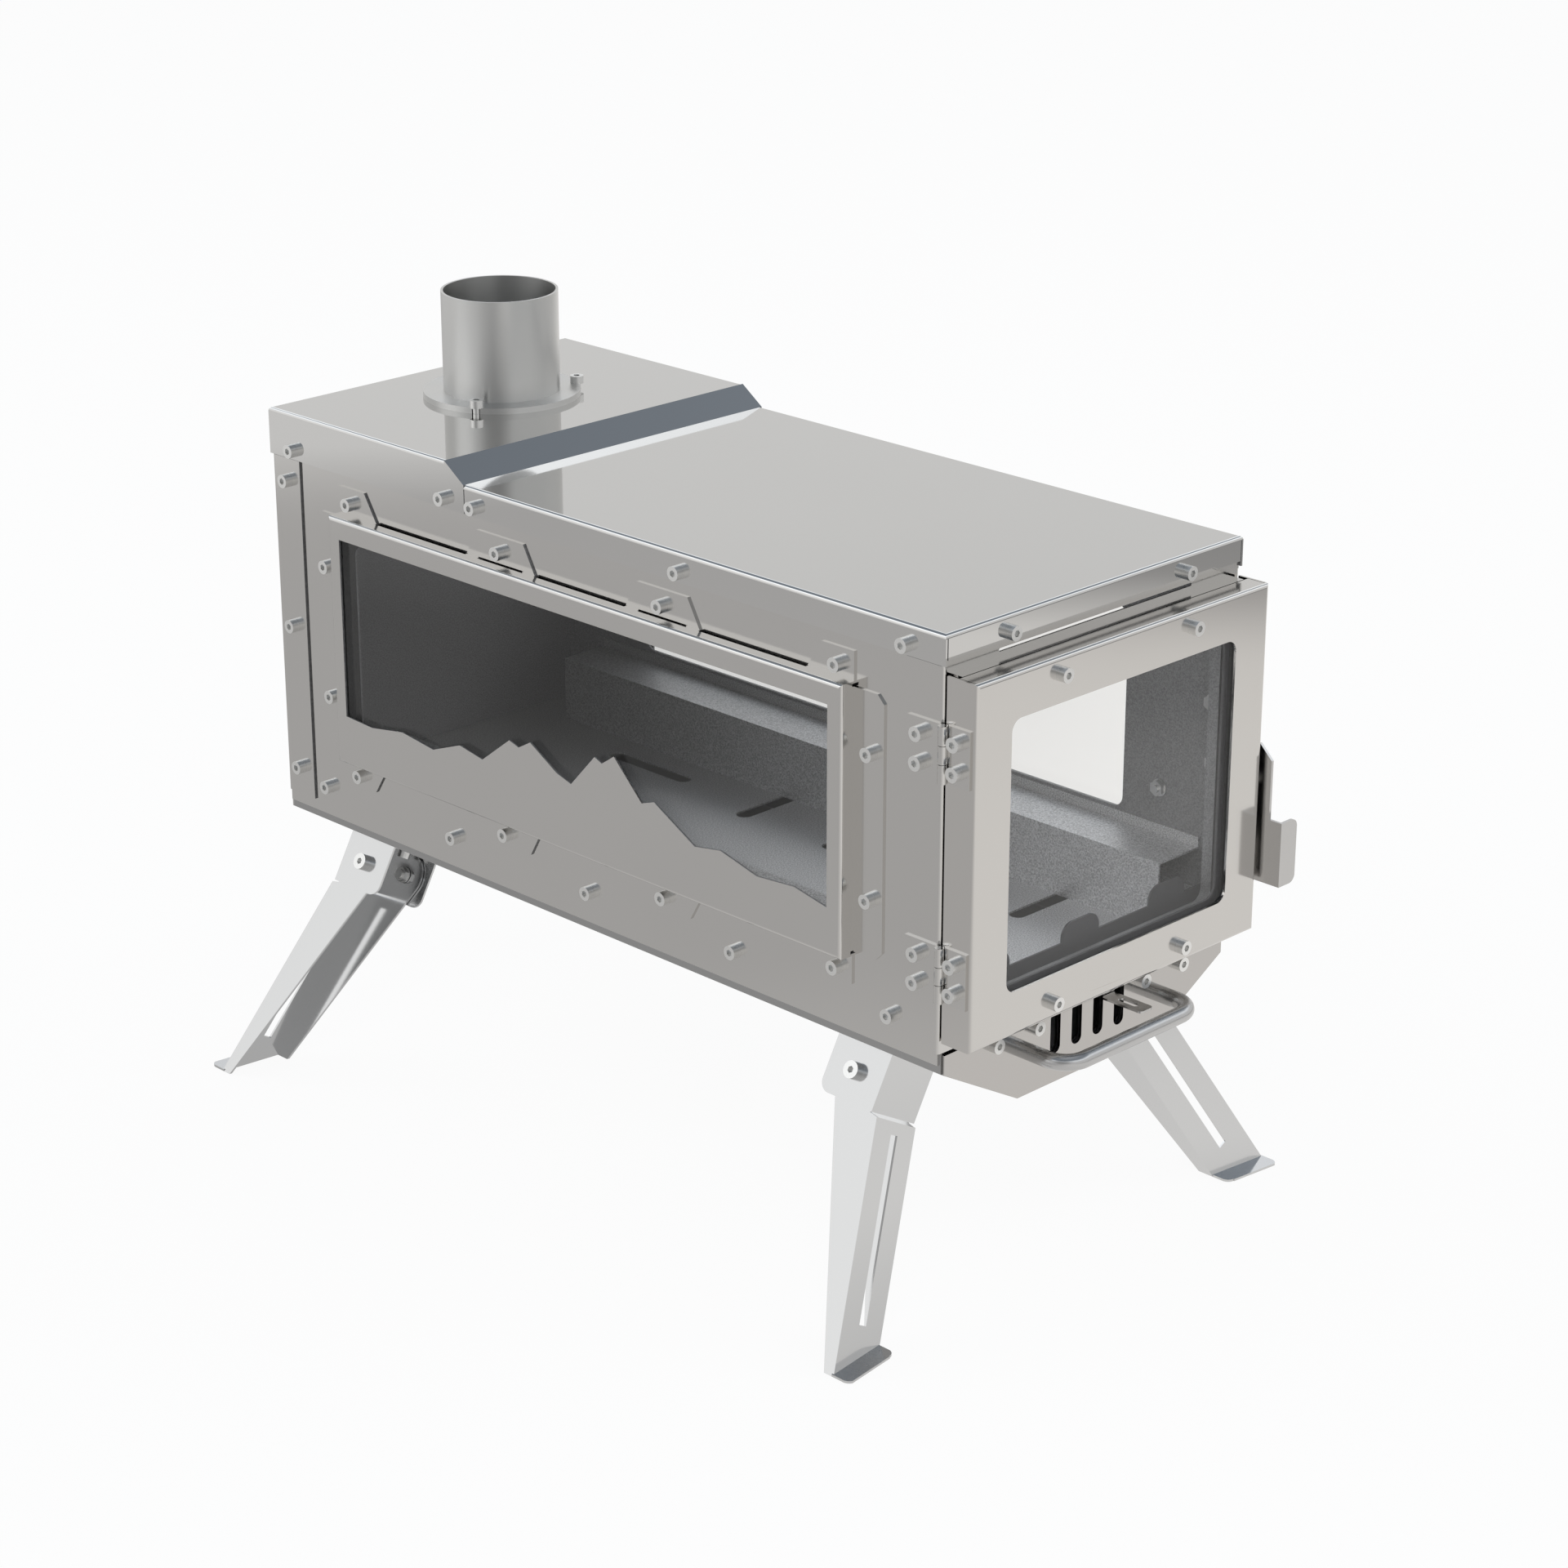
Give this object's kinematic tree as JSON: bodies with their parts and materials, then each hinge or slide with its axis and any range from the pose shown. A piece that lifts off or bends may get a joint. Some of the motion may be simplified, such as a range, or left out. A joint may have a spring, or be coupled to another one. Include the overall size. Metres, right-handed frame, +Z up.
{
  "type": "folding tent wood stove",
  "caption": "Folding tent wood stove with glazed door and side windows, ash drawer with air slide, flue collar and fold-away legs.",
  "frame": {"origin": "on the ground, under the middle of the whole outline", "axes": "+X right seen from the door, +Y to the rear, +Z up"},
  "size_m": [0.311, 0.5083, 0.4086],
  "materials": {
    "casing_steel": "satin",
    "top_steel": "satin",
    "leg_steel": "satin",
    "inner_steel": "satin",
    "fitting_steel": "satin",
    "flue_steel": "brushed",
    "fasteners": "polished",
    "glass": "clear",
    "rope_seal": "woven"
  },
  "bodies": {
    "stove_body": {"left_side_panel": "casing_steel", "right_side_panel": "casing_steel", "front_frame": "casing_steel", "rear_panel": "casing_steel", "top_cover": "top_steel", "ash_hopper": "inner_steel", "grate_floor": "inner_steel", "left_log_rail": "inner_steel", "right_log_rail": "inner_steel", "front_log_guard": "inner_steel", "smoke_baffle": "inner_steel", "flue_collar": "flue_steel", "flue_screws": "fasteners", "top_cover_screws": "fasteners", "left_casing_screws": "fasteners", "right_casing_screws": "fasteners", "left_window_frame": "casing_steel", "right_window_frame": "casing_steel", "left_window_glass": "glass", "right_window_glass": "glass", "left_window_gasket": "rope_seal", "right_window_gasket": "rope_seal", "left_window_screws": "fasteners", "right_window_screws": "fasteners", "hinge_body_leaves": "fitting_steel", "hinge_pins": "fasteners", "hinge_body_screws": "fasteners", "latch_keeper": "fasteners", "front_left_bracket": "leg_steel", "front_right_bracket": "leg_steel", "rear_left_bracket": "leg_steel", "rear_right_bracket": "leg_steel", "leg_pivots": "fasteners", "bracket_screws": "fasteners"},
    "door": {"door_shell": "casing_steel", "door_glass": "glass", "door_gasket": "rope_seal", "door_retainer": "casing_steel", "door_screws": "fasteners", "hinge_door_leaves": "fitting_steel", "hinge_door_screws": "fasteners", "latch_pivot": "fasteners"},
    "latch": {"latch_handle": "fitting_steel"},
    "ash_drawer": {"ash_tray": "inner_steel", "drawer_front": "casing_steel", "drawer_handle": "fitting_steel", "drawer_screws": "fasteners"},
    "air_slide": {"air_shutter": "fitting_steel"},
    "leg_front_left": {"front_left_leg": "leg_steel"},
    "leg_front_right": {"front_right_leg": "leg_steel"},
    "leg_rear_left": {"rear_left_leg": "leg_steel"},
    "leg_rear_right": {"rear_right_leg": "leg_steel"}
  },
  "joints": [
    {"name": "door_hinge", "type": "hinge", "parent": "stove_body", "child": "door", "pos_m": [-0.1024, -0.22258, 0.2379], "axis": [0, 0, -1], "range_deg": [0, 120]},
    {"name": "latch_turn", "type": "hinge", "parent": "door", "child": "latch", "pos_m": [0.103, -0.23128, 0.226], "axis": [1, 0, 0], "range_deg": [-10, 14]},
    {"name": "drawer_slide", "type": "slide", "parent": "stove_body", "child": "ash_drawer", "axis": [0, -1, 0], "range_m": [0, 0.3]},
    {"name": "air_slide_move", "type": "slide", "parent": "ash_drawer", "child": "air_slide", "axis": [1, 0, 0], "range_m": [0, 0.0075]},
    {"name": "leg_front_left_fold", "type": "hinge", "parent": "stove_body", "child": "leg_front_left", "pos_m": [-0.07769, -0.16208, 0.10729], "axis": [0.8708, 0, -0.4917], "range_deg": [0, 104]},
    {"name": "leg_front_right_fold", "type": "hinge", "parent": "stove_body", "child": "leg_front_right", "pos_m": [0.07769, -0.16208, 0.10729], "axis": [0.8708, 0, 0.4917], "range_deg": [0, 104]},
    {"name": "leg_rear_left_fold", "type": "hinge", "parent": "stove_body", "child": "leg_rear_left", "pos_m": [-0.07769, 0.19572, 0.10729], "axis": [-0.8708, 0, 0.4917], "range_deg": [0, 104]},
    {"name": "leg_rear_right_fold", "type": "hinge", "parent": "stove_body", "child": "leg_rear_right", "pos_m": [0.07769, 0.19572, 0.10729], "axis": [-0.8708, 0, -0.4917], "range_deg": [0, 104]}
  ]
}
